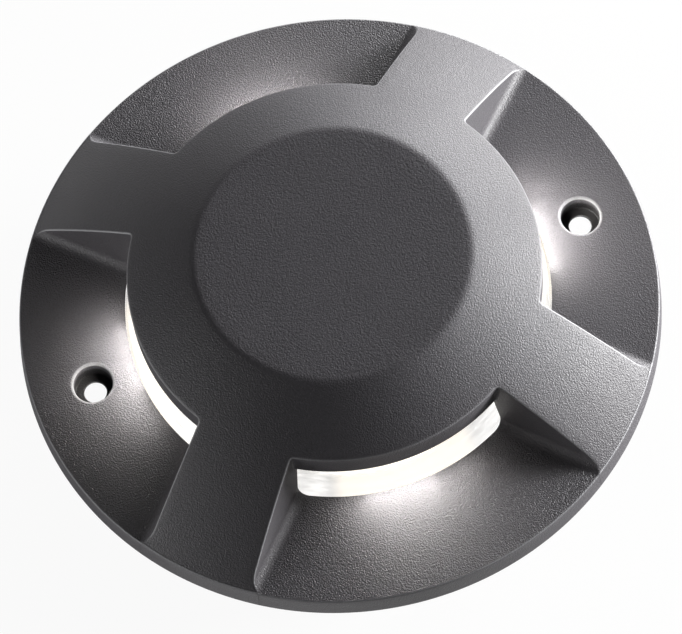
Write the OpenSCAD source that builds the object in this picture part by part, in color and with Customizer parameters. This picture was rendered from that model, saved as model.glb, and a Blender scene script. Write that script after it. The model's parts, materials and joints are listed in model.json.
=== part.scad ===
// In-ground drive-over light with four side windows, in millimetres, +Z up.
// The origin is the centre of the flange's seating land, which lies on z = 0.
// One window faces +X. The lamp body hangs below and its cable gland points to +Y.

/* [Flange and dome] */
// Outer diameter of the flange
flange_d = 180; // [176:1:216]
// Height of the flange's edge wall above the seating land
rim_h = 7; // [6.5:0.1:8]
// Inward lean of the edge wall over its height
rim_draft = 0.7; // [0.4:0.1:1.2]
// Break of the edge wall's top corner
rim_break = 0.5; // [0.2:0.1:0.8]
// Diameter of the flat disc on top
disc_d = 76; // [60:1:84]
// Height of the flat disc above the seating land
dome_h = 38; // [37:0.2:46]
// Radius of the bowed dome and arms, seen from the side
bow_r = 250; // [200:5:400]
// Thickness of the dome's skin
skin_t = 4.5; // [4:0.1:5]
// Depth of the relief inside the raised seating land
relief_h = 0.6; // [0.4:0.1:0.8]
// Width of the raised seating land
land_w = 12; // [8:0.5:12]

/* [Windows and arms] */
// Diameter of the cap's edge over the windows
cap_d = 114; // [110:1:116]
// Height of the fascia's lower edge, which tops the windows
window_top = 20.7; // [19:0.1:22]
// Height of the window sill
sill_h = 8.5; // [8.2:0.1:9]
// Thickness of the fascia's lower lip
lip_t = 1.2; // [1:0.1:1.6]
// Half width of an arm's top edge where it meets the cap
arm_half_w = 13.6; // [11:0.1:16]
// Lean of the arms' side walls, in degrees
arm_draft = 5.3; // [2:0.1:8]
// Fillet between the pockets' floor and the arms
pocket_fillet = 3.5; // [2:0.1:4]

/* [Fixing holes] */
// Pitch circle diameter of the two fixing holes
fixing_pcd = 144; // [144:1:150]
// Clearance hole for the fixing screws
fixing_hole_d = 6.4; // [5.5:0.1:7]
// Counterbore for their heads
fixing_bore_d = 11; // [9:0.1:12]
// Diameter of the chamfer round the counterbore
fixing_rim_d = 13.2; // [12.2:0.1:14]
// Metal left under the counterbore
fixing_web_t = 1; // [0.8:0.1:1.5]

/* [Lens] */
// Lean of the glass cup's outside, in degrees
lens_draft = 16.5; // [12:0.5:18]
// Wall of the glass cup
lens_wall = 5; // [4:0.1:6]
// Thickness of the cup's closed top
lens_top_t = 4; // [3:0.1:5]
// Width of the cup's foot flange
lens_foot_w = 3.4; // [3:0.1:4]
// Thickness of the foot flange
lens_foot_t = 3.2; // [2.8:0.1:4]
// Gap between the glass and the cover
lens_gap = 0.4; // [0.2:0.1:0.6]
// Gap between the glass's closed top and the dome's ceiling at its corner
lens_head_gap = 1; // [0.6:0.1:2]
// Thickness of the upper gasket
upper_gasket_t = 0.8; // [0.6:0.1:1]
// Thickness of the lower gasket
lower_gasket_t = 1; // [0.8:0.1:1.2]

/* [Lamp body] */
// Depth of the lamp body below the seating land
body_depth = 58; // [56:1:72]
// Wall of the body
body_wall = 3.5; // [3:0.1:4]
// Floor of the body
body_floor_t = 4; // [3.5:0.1:5]
// Width of the body's top lip beyond its wall
body_lip_w = 6; // [5:0.5:6]
// Thickness of the top lip
body_lip_t = 4; // [3:0.5:6]
// Width of the lip's seat outside the glass recess
body_seat_w = 1.8; // [1.5:0.1:2.5]
// Pitch circle diameter of the cover screws
lug_pcd = 140; // [138:1:142]
// Width of a screw lug
lug_w = 12.5; // [11:0.5:13]
// Thickness of a screw lug
lug_t = 6; // [5:0.5:8]
// Chamfer round the body's foot
foot_chamfer = 2; // [1:0.5:3]
// Pitch circle diameter of the heat plate posts
post_pcd = 102; // [100:1:104]
// Diameter of the posts
post_d = 9; // [8:0.5:10]
// Height of the floor pads under the driver, the terminal block and the earth
pad_h = 3; // [2.5:0.1:4]

/* [Light engine] */
// Thickness of the heat plate
plate_t = 3; // [2:0.5:4]
// Depth of the heat plate's underside below the body's top face
plate_drop = 8.6; // [8:0.1:10]
// Gap between the heat plate and the body's wall
plate_gap = 0.5; // [0.3:0.1:1]
// Thickness of the thermal pad
thermal_pad_t = 0.5; // [0.3:0.1:1]
// Diameter of the LED board
board_d = 92; // [90:1:93]
// Thickness of the LED board
board_t = 1.6; // [1:0.2:2]
// Pitch circle diameter of the board screws
board_pcd = 83; // [82:1:84]
// Side of an LED chip
chip_w = 3.5; // [2.8:0.1:5]
// Height of an LED chip
chip_t = 0.7; // [0.5:0.1:1]
// Pitch circle diameter of the chips
chip_pcd = 80; // [78:1:84]
// Angle between neighbouring chips behind one window, in degrees
chip_step = 18; // [12:1:20]
// Radius of the reflector's flat seat
reflector_seat_r = 9; // [8:0.5:11]
// Radius of the reflector's rim
reflector_rim_r = 47; // [44:0.5:48]
// Thickness of the reflector
reflector_t = 1; // [0.8:0.1:1.5]
// Gap between the reflector's rim and the glass above it
reflector_gap = 0.8; // [0.4:0.1:2]
// Bore of the rubber grommet in the heat plate
grommet_bore_d = 5; // [4.6:0.1:6]
// Diameter of a wire with its insulation
wire_d = 1.8; // [1.4:0.1:2]

/* [Driver and terminals] */
// Length of the driver's case
driver_l = 64; // [56:1:64]
// Width of the driver's case
driver_w = 34; // [28:1:34]
// Height of the driver's case
driver_h = 20; // [16:1:22]
// Distance of the driver's middle behind the lamp's axis
driver_back = 12; // [11:0.5:14]
// Corner radius of the driver's case
driver_corner = 3; // [2:0.5:5]
// Thickness of the driver's ears
driver_ear_t = 3; // [2.5:0.5:4]
// Length of the terminal block
terminal_l = 27; // [26:0.5:30]
// Width of the terminal block
terminal_w = 17; // [16:0.5:20]
// Height of the terminal block
terminal_h = 14; // [13:0.5:16]
// Distance of the block's middle in front of the lamp's axis
terminal_fore = 28; // [27:0.5:29]
// Spacing of the poles
terminal_pitch = 8.5; // [8:0.1:9]
// Bore of a pole
terminal_bore_d = 3.2; // [3:0.1:4]

/* [Cable gland and vent] */
// Height of the gland's and the vent's axes below the seating land
port_drop = 36; // [34:0.5:38]
// How far the port bosses stand out of the body's wall
boss_out = 2.5; // [2:0.1:3]
// How far the port bosses stand into the body
boss_in = 2; // [1.5:0.1:2.5]
// Thread diameter of the gland
gland_d = 16; // [14:0.5:19.2]
// Thickness of the gland's hexagon
gland_hex_t = 5; // [4:0.5:6]
// Bore through the gland's body
gland_bore_d = 10; // [9:0.1:10.5]
// Bore of the rubber insert, for the cable
cable_bore_d = 7.2; // [6:0.1:8]
// Length of the cap nut
cap_nut_l = 14; // [13:0.5:15]
// Opening in the cap nut's end
cap_nut_hole_d = 9.4; // [9:0.1:10]
// Thickness of the locknut
locknut_t = 4; // [3:0.5:4.5]
// Thread diameter of the vent plug
vent_d = 12; // [10:0.5:12]
// Diameter of the vent plug's head
vent_head_d = 17; // [15:0.5:18]
// Height of the vent plug's head
vent_head_t = 4; // [3:0.5:5]
// Angle of the vent from +X, in degrees
vent_angle = 118; // [116:1:119]
// Thickness of the ports' flat seals
port_seal_t = 1.5; // [1:0.1:2]

/* [Screws] */
// Thread diameter of the cover screws
cover_screw_d = 5; // [4:0.5:6]
// Length of the cover screws under their heads
cover_screw_l = 16; // [14:0.5:20]
// Thread diameter of the plate, driver and earth screws
plate_screw_d = 4; // [3.5:0.5:4]
// Thread diameter of the board and block screws
board_screw_d = 3; // [2.5:0.5:3]

/* [Hidden] */
$fn = 96;

// Counts and angles
window_n = 4;
window_angle = 360 / window_n;
arm_angle = window_angle / 2;
fixing_n = 2;
trio = [-1, 0, 1];
sides = [-1, 1];

// Overrun of every cut, the fillets' root, and small fits
over = 1;
fillet_root = 1;
thread_gap = 0.05;
screw_gap = 0.25;
hole_gap = 0.5;

// Screw proportions, as shares of the thread diameter
cap_head_share = 1.7;
pan_head_share = 1.9;
pan_height_share = 0.6;
socket_share = 0.92;
socket_depth_share = 0.5;
pan_socket_depth_share = 0.35;
washer_share = 2;
washer_t = 1;
plate_screw_l = 10;
short_screw_l = 5;

// Flange and dome
flange_r = flange_d / 2;
disc_r = disc_d / 2;
cap_r = cap_d / 2;
rim_top_r = flange_r - rim_draft - rim_break;
bow_run = rim_top_r - disc_r;
bow_fall = dome_h - rim_h;
bow_chord = norm([bow_run, bow_fall]);
bow_depth = sqrt(pow(bow_r, 2) - pow(bow_chord / 2, 2));
bow_c = [(disc_r + rim_top_r) / 2 - bow_depth * bow_fall / bow_chord,
         (dome_h + rim_h) / 2 - bow_depth * bow_run / bow_chord];
function bow_z(r, inset = 0) = bow_c[1] + sqrt(pow(bow_r - inset, 2) - pow(r - bow_c[0], 2));
function bow_at(z, inset = 0) = bow_c[0] + sqrt(pow(bow_r - inset, 2) - pow(z - bow_c[1], 2));
bow_steps = 14;
cap_edge_z = bow_z(cap_r);

// Glass cup, whose outside leans in from the sill to the fascia's lip
lens_lean = tan(lens_draft);
lens_lip_r = cap_r - lip_t - lens_gap;
function lens_r(z) = lens_lip_r + (window_top - z) * lens_lean;
lower_gasket_z = relief_h;
lens_z0 = lower_gasket_z + lower_gasket_t;
lens_foot_z = lens_z0 + lens_foot_t;
ledge_z = lens_foot_z + upper_gasket_t;
lens_foot_r = lens_r(lens_foot_z) + lens_foot_w;
recess_r = lens_foot_r + lens_gap;
sill_r = lens_r(sill_h) + lens_gap;
floor_edge_z = rim_h - rim_break / 2;
floor_fall = (sill_h - floor_edge_z) / (rim_top_r - sill_r);
function floor_z(r) = floor_edge_z + (rim_top_r - r) * floor_fall;
ceiling_z = dome_h - skin_t;

// Height at which the glass cup's clearance cone meets the dome's inner bow
cone_run = lens_r(0) + lens_gap - bow_c[0];
cone_mid = (cone_run * lens_lean + bow_c[1]) / (1 + pow(lens_lean, 2));
corner_z = cone_mid + sqrt(pow(cone_mid, 2) - (pow(cone_run, 2) + pow(bow_c[1], 2)
    - pow(bow_r - skin_t, 2)) / (1 + pow(lens_lean, 2)));
lens_head_r_share = 0.96;
lens_top_z = bow_z(lens_lip_r * lens_head_r_share, skin_t) - lens_head_gap;
lens_edge = 1.2;
lens_in_z = lens_top_z - lens_top_t;

// Lamp body
body_lip_r = recess_r + body_seat_w;
body_r = body_lip_r - body_lip_w;
body_in_r = body_r - body_wall;
body_top_z = relief_h;
foot_z = -body_depth;
body_floor_z = foot_z + body_floor_t;
pad_z = body_floor_z + pad_h;
lug_r = lug_pcd / 2;
post_r = post_pcd / 2;
plate_z = body_top_z - plate_drop;
pad_d = 9;

// Light engine
plate_top_z = plate_z + plate_t;
board_z = plate_top_z + thermal_pad_t;
board_top_z = board_z + board_t;
reflector_rim_z = lens_in_z - reflector_gap;
pass_at = [-24, -24];
grommet_flange_d = 11;
grommet_flange_t = 1;
grommet_groove_d = 8;
pass_hole_d = 12;
connector_l = 9;
connector_w = 7.4;
connector_h = 4.2;
connector_at = [pass_at[0] + pass_hole_d, pass_at[1]];
connector_bore_d = 2.2;
connector_bore_l = 3;
connector_wire_h = 2.1;
lead_pitch = 2.2;

// Driver, standing on pads, with its output leads at -X and its input leads at +X
ear_out = 4.5;
ear_w = 9;
driver_wire_h = 10;
driver_front_y = driver_w / 2 - driver_back;
output_lead_y = -22;
input_lead_ys = [-8, -4];

// Terminal block
terminal_wire_h = 6;
terminal_screw_d = 3.6;
terminal_screw_l = 5.2;
terminal_screw_sink = 1.2;
terminal_slot_w = 0.6;
terminal_face_y = terminal_fore - terminal_w / 2;
block_screw_x = terminal_pitch / 2;
block_pad_d = 7;
block_screw_sink = 9;
lead_grip = 2.5;
earth_at = [-30, 12];
earth_ring_t = 0.8;
earth_ring_d = 8.4;
earth_barrel_d = 3.4;
earth_barrel_l = 5;

// Ports
boss_face_r = body_r + boss_out;
boss_back_r = body_in_r - boss_in;
gland_af_share = 1.25;
gland_af = gland_d * gland_af_share;
gland_boss_d = 26;
vent_boss_d = 20;
hex_to_round = 1 / cos(30);
gland_hex_z = port_seal_t + gland_hex_t;
port_l = boss_face_r - boss_back_r;
gland_tail_l = port_l + locknut_t + over;
gland_neck_z = 15.5;
insert_d = 12;
insert_flange_d = 13;
insert_flange_t = 1.5;
insert_l = 9.5;
slip_ring_t = 1;
cap_nut_z = 8;
cap_skirt_share = 0.45;
cap_nose_share = 0.78;
gland_angle = 90;
membrane_d = 8;
membrane_t = 0.4;
vent_bore_d = 4;
vent_slot_w = 1.6;

// Wire routes, whose bends take a share of the gaps that they cross
bend_share = 0.55;
lead_sides = 8;
lead_steps = 8;
stub = [wire_d / 2, 0, 0];

// Colours
coat = "#3b3b3d";
gasket_black = "#1c1c1c";
alu = "#b9bcc0";

// Shapes that repeat

module polar(angle, r) {
    rotate(angle) translate([r, 0, 0]) children();
}

module ring(r_out, r_in, h) {
    difference() {
        cylinder(r = r_out, h = h);
        translate([0, 0, -over]) cylinder(r = r_in, h = h + 2 * over);
    }
}

module hex_prism(af, h) {
    cylinder(d = af * hex_to_round, h = h, $fn = 6);
}

// Hex socket screw with its head up and the underside of the head on z = 0
module cap_screw(d, l) {
    difference() {
        union() {
            translate([0, 0, -l]) cylinder(d = d, h = l);
            cylinder(d = d * cap_head_share, h = d);
        }
        translate([0, 0, d - d * socket_depth_share]) hex_prism(d * socket_share, d);
    }
}

// Flat pan head screw with its head up and the underside of the head on z = 0
module pan_screw(d, l) {
    head_h = d * pan_height_share;
    difference() {
        union() {
            translate([0, 0, -l]) cylinder(d = d, h = l);
            cylinder(d = d * pan_head_share, h = head_h);
        }
        translate([0, 0, head_h - d * pan_socket_depth_share])
            hex_prism(d * socket_share, head_h);
    }
}

module tapped_hole(d, l) {
    translate([0, 0, -l]) cylinder(d = d + 2 * thread_gap, h = l + over);
}

module rounded_plate(l, w, r, h) {
    linear_extrude(h) union() {
        square([l - 2 * r, w], center = true);
        square([l, w - 2 * r], center = true);
        for (x = sides, y = sides)
            translate([x * (l / 2 - r), y * (w / 2 - r)]) circle(r = r);
    }
}

// Four places on a circle, under the arms
module at_arms(r) {
    for (k = [0 : window_n - 1]) polar(arm_angle + k * window_angle, r) children();
}

// A frame at a port in the body's wall: z runs outwards from the boss's face
module at_port(angle) {
    rotate(angle) translate([boss_face_r, 0, -port_drop]) rotate([0, 90, 0]) children();
}

// Curved leads: a round tube swept along a chain of cubic curves
function bend(a, b, c, d) = [for (i = [0 : lead_steps]) let (t = i / lead_steps)
    pow(1 - t, 3) * a + 3 * t * pow(1 - t, 2) * b + 3 * pow(t, 2) * (1 - t) * c + pow(t, 3) * d];
function tail(v) = [for (i = [1 : len(v) - 1]) v[i]];
function unit(v) = v / norm(v);
function heading(p, i) = unit(p[min(i + 1, len(p) - 1)] - p[max(i - 1, 0)]);

module lead(path, side_of) {
    last = len(path) - 1;
    points = [for (i = [0 : last], j = [0 : lead_sides - 1])
        let (ahead = heading(path, i), across = unit(cross(ahead, side_of)),
             up = cross(across, ahead), turn = 360 * j / lead_sides)
        path[i] + (wire_d / 2) * (cos(turn) * across + sin(turn) * up)];
    walls = [for (i = [0 : last - 1], j = [0 : lead_sides - 1])
        let (next = (j + 1) % lead_sides)
        [i * lead_sides + j, i * lead_sides + next,
         (i + 1) * lead_sides + next, (i + 1) * lead_sides + j]];
    start = [for (j = [lead_sides - 1 : -1 : 0]) j];
    end = [for (j = [0 : lead_sides - 1]) last * lead_sides + j];
    polyhedron(points = points, faces = concat([start], walls, [end]));
}

// Cover

// Points along the bow, from height top out to radius reach
function bow_points(inset, top, reach) = let (start = bow_at(top, inset))
    [for (i = [0 : bow_steps]) let (r = start + (reach - start) * i / bow_steps)
        [r, bow_z(r, inset)]];

module cover_blank() {
    rotate_extrude() polygon(concat(
        [[0, 0], [0, dome_h]], bow_points(0, dome_h, rim_top_r),
        [[flange_r - rim_draft, rim_h - rim_break], [flange_r, 0]]));
}

// Everything on the window's side of an arm's leaning wall; the arm lies along +X
module beside_arm(side) {
    mirror([0, side < 0 ? 1 : 0, 0])
        translate([0, arm_half_w, cap_edge_z])
            rotate([arm_draft, 0, 0])
                translate([-flange_d, 0, -flange_d])
                    cube([2 * flange_d, flange_d, 2 * flange_d]);
}

// Strip that rounds the corner between an arm's wall and the pocket's floor
module fillet_strip() {
    in_y = arm_half_w + tan(arm_draft) * (cap_edge_z - sill_h);
    start_x = sqrt(pow(sill_r, 2) - pow(in_y, 2)) - 2 * pocket_fillet;
    run = flange_r - start_x;
    centre = pocket_fillet * (1 - sin(arm_draft)) / cos(arm_draft);
    height = pocket_fillet * (1 - sin(arm_draft));
    translate([start_x, in_y, floor_z(norm([start_x, in_y]))])
        rotate([0, atan(floor_fall), 0]) rotate([90, 0, 90])
            linear_extrude(run) difference() {
                translate([-fillet_root, -fillet_root])
                    square([centre + fillet_root, height + fillet_root]);
                translate([centre, pocket_fillet]) circle(r = pocket_fillet);
            }
}

// Space cut out for one window, facing +X
module pocket() {
    slot_r = lens_lip_r - over;
    sky_z = dome_h + over;
    difference() {
        intersection() {
            rotate_extrude() polygon([
                [cap_r, sky_z], [cap_r, window_top], [slot_r, window_top],
                [slot_r, floor_z(slot_r)],
                [flange_r + over, floor_z(flange_r + over)], [flange_r + over, sky_z]]);
            rotate(arm_angle) beside_arm(-1);
            rotate(-arm_angle) beside_arm(1);
        }
        rotate(-arm_angle) fillet_strip();
        rotate(arm_angle) mirror([0, 1, 0]) fillet_strip();
    }
}

module cover_cavity() {
    rotate_extrude() polygon(concat(
        [[0, -over], [0, ceiling_z]], bow_points(skin_t, ceiling_z, lens_r(corner_z) + lens_gap),
        [[lens_r(ledge_z) + lens_gap, ledge_z], [recess_r, ledge_z], [recess_r, relief_h],
         [flange_r - land_w, relief_h], [flange_r - land_w, -over]]));
}

module fixing_hole() {
    web_z = relief_h + fixing_web_t;
    chamfer = (fixing_rim_d - fixing_bore_d) / 2;
    top_z = floor_z(fixing_pcd / 2);
    translate([0, 0, -over]) cylinder(d = fixing_hole_d, h = web_z + 2 * over);
    translate([0, 0, web_z]) cylinder(d = fixing_bore_d, h = dome_h);
    translate([0, 0, top_z - chamfer])
        cylinder(d1 = fixing_bore_d, d2 = fixing_rim_d + 2 * over, h = chamfer + over);
}

module cover() {
    color(coat) difference() {
        cover_blank();
        for (k = [0 : window_n - 1]) rotate(k * window_angle) pocket();
        cover_cavity();
        for (k = [0 : fixing_n - 1]) polar(k * 360 / fixing_n, fixing_pcd / 2) fixing_hole();
        at_arms(lug_r) mirror([0, 0, 1]) translate([0, 0, -relief_h])
            tapped_hole(cover_screw_d, cover_screw_l - lug_t - washer_t + over);
    }
}

// Lens and its gaskets

module lens() {
    color("#e9f1f2", 0.45) rotate_extrude() polygon([
        [0, lens_top_z], [lens_r(lens_top_z) - lens_edge, lens_top_z],
        [lens_r(lens_top_z - lens_edge), lens_top_z - lens_edge],
        [lens_r(lens_foot_z), lens_foot_z], [lens_foot_r, lens_foot_z],
        [lens_foot_r, lens_z0], [lens_r(lens_z0) - lens_wall, lens_z0],
        [lens_r(lens_in_z) - lens_wall, lens_in_z], [0, lens_in_z]]);
}

module lens_upper_gasket() {
    color(gasket_black) translate([0, 0, lens_foot_z])
        ring(lens_foot_r, lens_r(lens_foot_z) + lens_gap, upper_gasket_t);
}

module lens_lower_gasket() {
    color(gasket_black) translate([0, 0, lower_gasket_z])
        ring(lens_foot_r, body_in_r + lens_gap, lower_gasket_t);
}

// Light engine

module reflector() {
    rise = reflector_rim_z - board_top_z;
    color("#dfe3e6") translate([0, 0, board_top_z]) difference() {
        rotate_extrude() polygon([
            [0, 0], [reflector_seat_r, 0], [reflector_rim_r, rise - reflector_t],
            [reflector_rim_r, rise], [reflector_rim_r - reflector_t, rise],
            [reflector_seat_r - reflector_t, reflector_t], [0, reflector_t]]);
        translate([0, 0, -over]) cylinder(d = plate_screw_d + screw_gap, h = 2 * over + reflector_t);
    }
}

module reflector_screw() {
    color(alu) translate([0, 0, board_top_z + reflector_t])
        pan_screw(plate_screw_d, reflector_t + board_t + thermal_pad_t + plate_t / 2);
}

module board_cuts() {
    translate([0, 0, -over]) {
        cylinder(d = plate_screw_d + hole_gap, h = plate_t + 2 * over);
        at_arms(board_pcd / 2) cylinder(d = board_screw_d + hole_gap, h = plate_t + 2 * over);
        translate(pass_at) cylinder(d = pass_hole_d, h = plate_t + 2 * over);
    }
}

module thermal_pad() {
    color("#9fa8b5") translate([0, 0, plate_top_z]) difference() {
        cylinder(d = board_d - over, h = thermal_pad_t);
        board_cuts();
    }
}

module led_board() {
    color("#f1f1ee") translate([0, 0, board_z]) difference() {
        cylinder(d = board_d, h = board_t);
        board_cuts();
    }
}

module led_chips() {
    color("#f5d35a") for (k = [0 : window_n - 1], j = trio)
        polar(k * window_angle + j * chip_step, chip_pcd / 2)
            translate([-chip_w / 2, -chip_w / 2, board_top_z]) cube([chip_w, chip_w, chip_t]);
}

module led_connector() {
    color("#f4f4f4") translate([connector_at[0], connector_at[1], board_top_z]) difference() {
        translate([0, -connector_w / 2, 0]) cube([connector_l, connector_w, connector_h]);
        for (s = sides) translate([-over, s * lead_pitch / 2, connector_wire_h])
            rotate([0, 90, 0]) cylinder(d = connector_bore_d - hole_gap / 2, h = connector_bore_l + over);
    }
}

module led_board_screws() {
    color(alu) at_arms(board_pcd / 2) translate([0, 0, board_top_z])
        pan_screw(board_screw_d, board_t + thermal_pad_t + plate_t / 2);
}

module heat_plate() {
    color(alu) translate([0, 0, plate_z]) difference() {
        cylinder(r = body_in_r - plate_gap, h = plate_t);
        translate([0, 0, -over])
            at_arms(post_r) cylinder(d = plate_screw_d + hole_gap, h = plate_t + 2 * over);
        translate([0, 0, plate_t]) tapped_hole(plate_screw_d, plate_t + over);
        translate([0, 0, plate_t]) at_arms(board_pcd / 2) tapped_hole(board_screw_d, plate_t + over);
        translate([pass_at[0], pass_at[1], -over]) cylinder(d = grommet_groove_d, h = plate_t + 2 * over);
    }
}

module heat_plate_screws() {
    color(alu) at_arms(post_r) translate([0, 0, plate_top_z])
        pan_screw(plate_screw_d, plate_screw_l);
}

module wire_grommet() {
    color(gasket_black) translate([pass_at[0], pass_at[1], plate_z - grommet_flange_t])
        difference() {
            union() {
                cylinder(d = grommet_groove_d - thread_gap, h = plate_t + 2 * grommet_flange_t);
                cylinder(d = grommet_flange_d, h = grommet_flange_t);
                translate([0, 0, plate_t + grommet_flange_t])
                    cylinder(d = grommet_flange_d, h = grommet_flange_t);
            }
            translate([0, 0, -over])
                cylinder(d = grommet_bore_d, h = plate_t + 2 * grommet_flange_t + 2 * over);
        }
}

// Two leads from the driver's end, up through the grommet, into the board's connector
function led_lead_path(s) = let (
    y = s * lead_pitch / 2,
    end = [-driver_l / 2, output_lead_y + y, pad_z + driver_wire_h],
    out = end - stub,
    low = [pass_at[0], pass_at[1] + y, plate_z - 2 * wire_d],
    high = [pass_at[0], pass_at[1] + y, plate_top_z],
    tip = [connector_at[0] + connector_bore_l - thread_gap, connector_at[1] + y,
           board_top_z + connector_wire_h],
    in = tip - stub,
    rise = low[2] - out[2],
    reach = in[0] - high[0],
    lift = in[2] - high[2])
    concat([end], bend(out, out - [rise * bend_share, 0, 0],
                       low - [0, 0, rise * bend_share * bend_share], low),
           tail(bend(low, (2 * low + high) / 3, (low + 2 * high) / 3, high)),
           tail(bend(high, high + [0, 0, lift], in - [reach * bend_share, 0, 0], in)), [tip]);

module led_leads() {
    color("#b8262a") lead(led_lead_path(-1), [0, 1, 0]);
    color("#222222") lead(led_lead_path(1), [0, 1, 0]);
}

// Driver

module led_driver() {
    color("#2b2d31") translate([0, -driver_back, pad_z]) difference() {
        union() {
            rounded_plate(driver_l, driver_w, driver_corner, driver_h);
            rounded_plate(driver_l + 2 * (ear_out + ear_w / 2), ear_w, ear_w / 2 - thread_gap,
                          driver_ear_t);
        }
        for (s = sides) translate([s * (driver_l / 2 + ear_out), 0, -over])
            cylinder(d = plate_screw_d + hole_gap, h = driver_ear_t + 2 * over);
    }
}

module driver_screws() {
    color(alu) for (s = sides)
        translate([s * (driver_l / 2 + ear_out), -driver_back, pad_z + driver_ear_t])
            pan_screw(plate_screw_d, driver_ear_t + short_screw_l);
}

// Two leads from the terminal block round the driver's corner to its input end
function mains_lead_path(k) = let (
    x = terminal_pitch * (1 - k),
    out = [x, terminal_face_y + lead_grip, pad_z + terminal_wire_h],
    tip = [driver_l / 2, input_lead_ys[k], pad_z + driver_wire_h],
    in = tip + stub,
    gap = terminal_face_y - driver_front_y,
    mid = [driver_l / 2 - driver_corner, driver_front_y + gap * (2 - k) / 3, out[2]],
    drop = out[1] - mid[1],
    reach = mid[0] - out[0],
    swing = mid[1] - in[1])
    concat(bend(out, out - [0, drop * bend_share + lead_grip, 0],
                mid - [reach * bend_share, 0, 0], mid),
           tail(bend(mid, mid + [swing * bend_share + driver_corner, 0, 0],
                     in + [swing * bend_share + driver_corner, 0, 0], in)), [tip]);

module mains_leads() {
    color("#6b3f22") lead(mains_lead_path(0), [0, 0, 1]);
    color("#2f62b5") lead(mains_lead_path(1), [0, 0, 1]);
}

function earth_lead_path() = let (
    out = [-terminal_pitch, terminal_face_y + lead_grip, pad_z + terminal_wire_h],
    tip = [earth_at[0] + earth_ring_d / 2 + earth_barrel_l, earth_at[1], pad_z + earth_barrel_d / 2],
    in = tip + stub,
    drop = out[1] - in[1])
    concat(bend(out, out - [0, drop * bend_share + lead_grip, 0],
                in + [drop * bend_share, 0, 0], in), [tip]);

module earth_lead() {
    color("#7aa83a") lead(earth_lead_path(), [0, 0, 1]);
}

module earth_ring() {
    color(alu) translate([earth_at[0], earth_at[1], pad_z]) difference() {
        union() {
            cylinder(d = earth_ring_d, h = earth_ring_t);
            translate([0, -earth_barrel_d / 2, 0])
                cube([earth_ring_d / 2 + earth_barrel_l, earth_barrel_d, earth_ring_t]);
            translate([earth_ring_d / 2, 0, earth_barrel_d / 2]) rotate([0, 90, 0])
                cylinder(d = earth_barrel_d, h = earth_barrel_l);
        }
        translate([0, 0, -over]) cylinder(d = plate_screw_d + screw_gap, h = earth_ring_t + 2 * over);
    }
}

module earth_screw() {
    color("#c9a84e") translate([earth_at[0], earth_at[1], pad_z + earth_ring_t])
        pan_screw(plate_screw_d, short_screw_l);
}

// Terminal block

module terminal_block() {
    color("#e8e6df") translate([0, terminal_fore, pad_z]) difference() {
        translate([-terminal_l / 2, -terminal_w / 2, 0]) cube([terminal_l, terminal_w, terminal_h]);
        for (k = trio) translate([k * terminal_pitch, 0, 0]) {
            translate([0, -terminal_w / 2 - over, terminal_wire_h]) rotate([-90, 0, 0])
                cylinder(d = terminal_bore_d, h = terminal_w + 2 * over);
            for (s = sides) translate([0, s * terminal_w / 4, terminal_wire_h])
                cylinder(d = terminal_screw_d + screw_gap, h = terminal_h);
        }
        for (s = sides) translate([s * block_screw_x, 0, 0]) {
            translate([0, 0, -over]) cylinder(d = board_screw_d + screw_gap, h = terminal_h + 2 * over);
            translate([0, 0, terminal_h - block_screw_sink])
                cylinder(d = board_screw_d * pan_head_share + screw_gap, h = terminal_h);
        }
    }
}

module terminal_screws() {
    color(alu) for (k = trio, s = sides)
        translate([k * terminal_pitch, terminal_fore + s * terminal_w / 4,
                   pad_z + terminal_h - terminal_screw_sink - terminal_screw_l])
            difference() {
                cylinder(d = terminal_screw_d, h = terminal_screw_l);
                translate([-terminal_screw_d, -terminal_slot_w / 2, terminal_screw_l - over])
                    cube([2 * terminal_screw_d, terminal_slot_w, 2 * over]);
            }
}

module terminal_mount_screws() {
    color(alu) for (s = sides)
        translate([s * block_screw_x, terminal_fore, pad_z + terminal_h - block_screw_sink])
            pan_screw(board_screw_d, terminal_h - block_screw_sink + pad_h);
}

// Lamp body

module body_shell() {
    rotate_extrude() polygon([
        [0, foot_z], [body_r - foot_chamfer, foot_z], [body_r, foot_z + foot_chamfer],
        [body_r, body_top_z - body_lip_t - body_lip_w], [body_lip_r, body_top_z - body_lip_t],
        [body_lip_r, body_top_z], [body_in_r, body_top_z], [body_in_r, body_floor_z],
        [0, body_floor_z]]);
}

module lug() {
    translate([0, 0, body_top_z - lug_t]) union() {
        cylinder(d = lug_w, h = lug_t);
        translate([body_r - lug_r, -lug_w / 2, 0]) cube([lug_r - body_r, lug_w, lug_t]);
    }
}

module post() {
    h = plate_z - body_floor_z;
    translate([0, 0, body_floor_z]) union() {
        cylinder(d = post_d, h = h);
        translate([0, -post_d / 4, 0])
            cube([body_in_r - post_r + body_wall / 2, post_d / 2, h]);
    }
}

module port_boss(d) {
    translate([0, 0, -port_l]) cylinder(d = d, h = port_l);
}

module port_hole(d) {
    translate([0, 0, -2 * port_l]) cylinder(d = d, h = 2 * port_l + over);
}

module floor_pad(d) {
    translate([0, 0, body_floor_z]) cylinder(d = d, h = pad_h);
}

module floor_hole(d) {
    translate([0, 0, pad_z]) tapped_hole(d, pad_h + body_floor_t / 2);
}

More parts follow.
